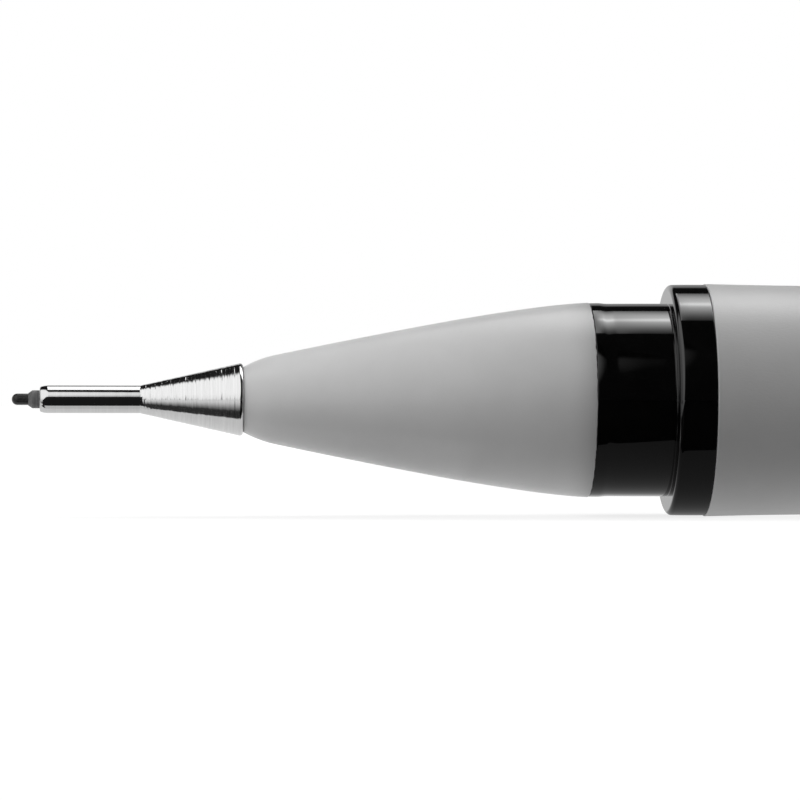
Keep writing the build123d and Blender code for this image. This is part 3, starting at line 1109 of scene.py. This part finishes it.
def round_level_at(tree, place):
    """Round soft box: a soft edge where the cosine from its axis falls through the edge's range, dimmer near
    the floor and at its left side, and cut off at its upper right by a barn door."""
    seen = tree.add("ShaderNodeVectorMath", operation="SUBTRACT")
    unit = tree.add("ShaderNodeVectorMath", operation="NORMALIZE")
    cosine = tree.add("ShaderNodeVectorMath", operation="DOT_PRODUCT")
    tree.link(place, seen.inputs[0])
    seen.inputs[1].default_value = round_pivot
    tree.link(seen.outputs["Vector"], unit.inputs[0])
    tree.link(unit.outputs["Vector"], cosine.inputs[0])
    cosine.inputs[1].default_value = round_axis
    along, _, up = parts_of(tree, unit.outputs["Vector"])
    edge = tree.ramp(cosine.outputs["Value"], *round_edge, 0.0, round_level)
    low = tree.span(up, 0.0, round_full_height, round_low_share, 1.0)
    corner = tree.math("ADD", up, tree.math("MULTIPLY", along, round_door_lean))
    door = tree.ramp(corner, *round_door, 1.0, 0.0)
    left = tree.ramp(along, *round_left_reach, round_left_share, 1.0)
    return tree.math("MULTIPLY", tree.math("MULTIPLY", edge, low), tree.math("MULTIPLY", door, left))


def by_ray(tree, gloss, light):
    """One level for gloss and another for diffuse light."""
    mix = tree.add("ShaderNodeMix")
    diffuse = tree.add("ShaderNodeLightPath").outputs["Is Diffuse Ray"]
    for name, source in zip(("Factor", "A", "B"), (diffuse, gloss, light)):
        tree.link(source, mix.inputs[name])
    return mix.outputs["Result"]


def shade_level_at(tree, place):
    """Painted shadow of the pen in front of the tip: black near the pen, then one minus e to the minus distance
    in fades.

    Gloss sees it black on its right part, beyond a line that slants towards the camera."""
    along, across, _ = parts_of(tree, place)
    distance = tree.math("MAXIMUM", tree.math("SUBTRACT", shade_edge, across), 0.0)
    power = tree.math("DIVIDE", distance, -shade_fade)
    level = tree.math("MAXIMUM", tree.math("SUBTRACT", 1.0, tree.math("EXPONENT", power)), shade_least)
    beside = tree.math("SUBTRACT", along, tree.math("MULTIPLY", across, shade_slant))
    dark = tree.ramp(beside, *shade_right_edge, 1.0, shade_least)
    return by_ray(tree, tree.math("MULTIPLY", level, dark), level)


def side_level_at(tree, place):
    """Grey sheet at the far left, dimmer towards the pen."""
    along, _, _ = parts_of(tree, place)
    return tree.span(along, *side_reach, *side_level)


def under_level_at(tree, place):
    """Glowing card under the collar and the barrel, with the pen's shadow painted on it, brighter towards the
    back.

    Gloss sees a level plus e to the distance in fades, and diffuse light a straight rise: a painted glow that
    lights the pen from below."""
    _, across, _ = parts_of(tree, place)
    power = tree.math("DIVIDE", tree.math("SUBTRACT", across, under_edge), under_fade)
    rise = tree.math("MULTIPLY", tree.math("EXPONENT", power), under_rise)
    gloss = tree.math("MINIMUM", tree.math("ADD", rise, under_level), under_most)
    return by_ray(tree, gloss, tree.span(across, *under_light_reach, *under_light))


def strip_level_at(tree, place):
    """Strip beside the tube: black above and white below the change, which slants in front of the corner."""
    along, _, height = parts_of(tree, place)
    ahead = tree.math("MAXIMUM", tree.math("SUBTRACT", strip_corner, along), 0.0)
    raised = tree.math("ADD", height, tree.math("MULTIPLY", ahead, strip_corner_slope))
    below = tree.math("LESS_THAN", raised, strip_change)
    return tree.span(below, 0.0, 1.0, strip_black, strip_white)


def floor():
    """Large sheet that the pen lies on, the only card that the camera sees."""
    half = floor_size / 2
    corners = [(-half, -half), (half, -half), (half, half), (-half, half)]
    piece = card("floor", [(x, y, floor_height) for x, y in corners], floor_paper())
    piece.visible_camera = True
    piece.visible_shadow = True
    piece.visible_transmission = True


def over_box():
    """Soft box over and behind the pen, square to the line from the pen at its angle."""
    middle = Vector((0, -math.cos(over_angle), math.sin(over_angle))) * over_distance
    rearwards = Vector((0, math.sin(over_angle), math.cos(over_angle)))
    front = middle - rearwards * over_front_reach
    rear = middle + rearwards * over_rear_reach
    left, right = (Vector((x, 0, 0)) for x in over_reach)
    material = glowing("over_cloth", over_level, True)
    card("over_box", [front + left, front + right, rear + right, rear + left], material)


def round_box():
    """Round soft box at the front left: a circle square to its axis."""
    first = round_axis.orthogonal().normalized() * round_radius
    second = round_axis.cross(first)
    turns = np.linspace(0, 2 * math.pi, sides_small, endpoint=False)[:, None]
    middle = np.array(round_axis) * round_distance
    rim = middle + np.cos(turns) * np.array(first) + np.sin(turns) * np.array(second)
    card("round_box", rim, glowing("round_cloth", round_level_at, True))


def tube_strip():
    """Narrow card beside the tube, black over white, which gives the tube its dark band."""
    corners = [(x * MM, strip_place, z * MM) for x, z in strip_outline]
    card("tube_strip", corners, glowing("strip_paper", strip_level_at, False))


def studio():
    """White floor, two soft boxes, and cards that shade the pen's reflections, some glowing with the pen's
    shadow painted on them.
    """
    floor()
    over_box()
    round_box()
    tube_strip()
    floor_card("shade_card", shade_corners, glowing("shade_paper", shade_level_at, False), 1)
    floor_card("side_card", side_corners, glowing("side_paper", side_level_at, False), 1)
    floor_card("under_glow_card", under_corners, glowing("under_glow_and_painted_shadow", under_level_at, False), 1)
    floor_card("black_card", black_corners, black_card(), 2)


def room():
    """World: white for the camera, a soft dome for diffuse light, a dim room with a backdrop for gloss."""
    world = bpy.data.worlds.new("room")
    bpy.context.scene.world = world
    world.use_nodes = True
    world.node_tree.nodes.clear()
    tree = NodeTree(world.node_tree)
    output = tree.add("ShaderNodeOutputWorld")
    background = tree.add("ShaderNodeBackground")
    background.inputs["Color"].default_value = (1, 1, 1, 1)
    tree.link(background.outputs["Background"], output.inputs["Surface"])
    along, ahead, up = parts_of(tree, tree.add("ShaderNodeTexCoord").outputs["Generated"])
    behind = tree.ramp(ahead, *backdrop_front_fade)
    low = tree.ramp(up, backdrop_top, backdrop_top + backdrop_fade, 1.0, 0.0)
    tone = tree.ramp(along, *backdrop_change, backdrop_left_level, backdrop_right_level)
    backdrop = tree.math("MULTIPLY", tree.math("MULTIPLY", behind, low), tone)
    gloss = tree.math("MAXIMUM", backdrop, room_level)
    path = tree.add("ShaderNodeLightPath")
    mirrored = tree.math("ADD", path.outputs["Is Glossy Ray"], path.outputs["Is Transmission Ray"])
    dome = tree.math("MULTIPLY", path.outputs["Is Diffuse Ray"], dome_level)
    seen = tree.math("ADD", path.outputs["Is Camera Ray"], tree.math("MULTIPLY", mirrored, gloss))
    tree.link(tree.math("ADD", seen, dome), background.inputs["Strength"])


def photo_camera():
    """Level camera beside the pen, turned a little towards its rear and rolled to the photograph's tilt."""
    data = bpy.data.cameras.new("photo_camera")
    data.sensor_width = sensor_width
    data.lens = sensor_width * focal_px / frame_px
    data.clip_start = camera_clip
    camera = bpy.data.objects.new("photo_camera", data)
    towards = Vector((math.sin(camera_yaw), math.cos(camera_yaw), 0))
    camera.location = camera_aim - camera_distance * towards
    turn = towards.to_track_quat("-Z", "Y") @ Quaternion((0, 0, 1), camera_roll)
    camera.rotation_euler = turn.to_euler()
    bpy.context.scene.collection.objects.link(camera)
    bpy.context.scene.camera = camera


studio()
room()
photo_camera()
bpy.context.scene.view_settings.view_transform = "Standard"
